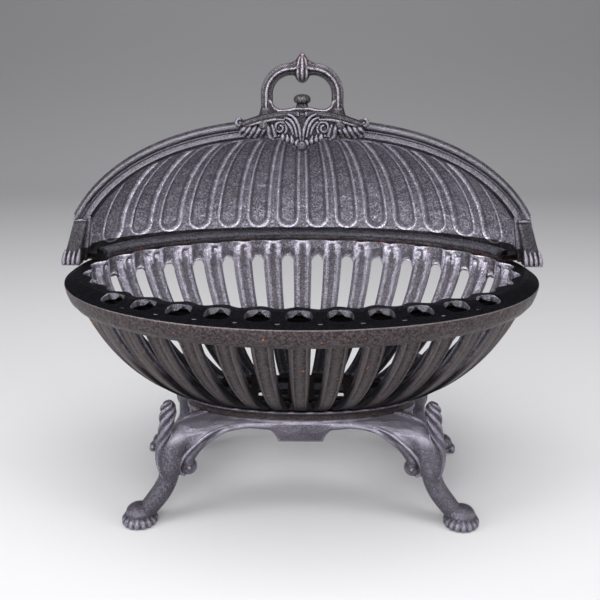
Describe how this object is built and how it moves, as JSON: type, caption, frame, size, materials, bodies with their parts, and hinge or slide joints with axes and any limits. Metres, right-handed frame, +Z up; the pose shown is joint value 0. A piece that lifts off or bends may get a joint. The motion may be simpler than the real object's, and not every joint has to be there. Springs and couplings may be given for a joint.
{
  "type": "fireplace fire basket",
  "caption": "Oval cast-iron fire basket on a four-legged stand, with a barred bowl, a loose bottom grate and a lift-off half-dome back with a stirrup handle.",
  "frame": {"origin": "bottom centre of the whole object's box: the floor under the middle of the rim", "axes": "+Z up, +X to the right end seen from the front, -Y towards the viewer (the open front)"},
  "size_m": [0.482, 0.32, 0.4433],
  "materials": {
    "stand_iron": "satin black-leaded casting with a sandy skin",
    "bowl_iron": "satin black-leaded casting, brownish on the bars",
    "grate_iron": "matt casting, a little burnt",
    "hood_iron": "satin graphite-coloured casting with a sandy skin",
    "handle_iron": "satin casting, worn smooth on the bow",
    "fastener_steel": "dark oxidised steel"
  },
  "bodies": {
    "stand": {"stand_front": "stand_iron", "stand_rear": "stand_iron", "stand_bolts": "fastener_steel", "stand_washers": "fastener_steel", "stand_nuts": "fastener_steel"},
    "bowl": {"fire_bowl": "bowl_iron"},
    "grate": {"bottom_grate": "grate_iron"},
    "hood": {"hood_shell": "hood_iron", "hood_paw_left": "hood_iron", "hood_paw_right": "hood_iron", "paw_screws": "fastener_steel", "leaf_crest": "hood_iron", "crest_rivets": "fastener_steel", "handle": "handle_iron", "handle_stud": "handle_iron", "handle_washer": "fastener_steel", "handle_nut": "fastener_steel"}
  },
  "joints": [
    {"name": "bowl_lift", "type": "slide", "parent": "stand", "child": "bowl", "axis": [0, 0, 1], "range_m": [0, 0.08]},
    {"name": "grate_lift", "type": "slide", "parent": "bowl", "child": "grate", "axis": [0, 0, 1], "range_m": [0, 0.1]},
    {"name": "hood_lift", "type": "slide", "parent": "bowl", "child": "hood", "axis": [0, 0, 1], "range_m": [0, 0.15]}
  ]
}
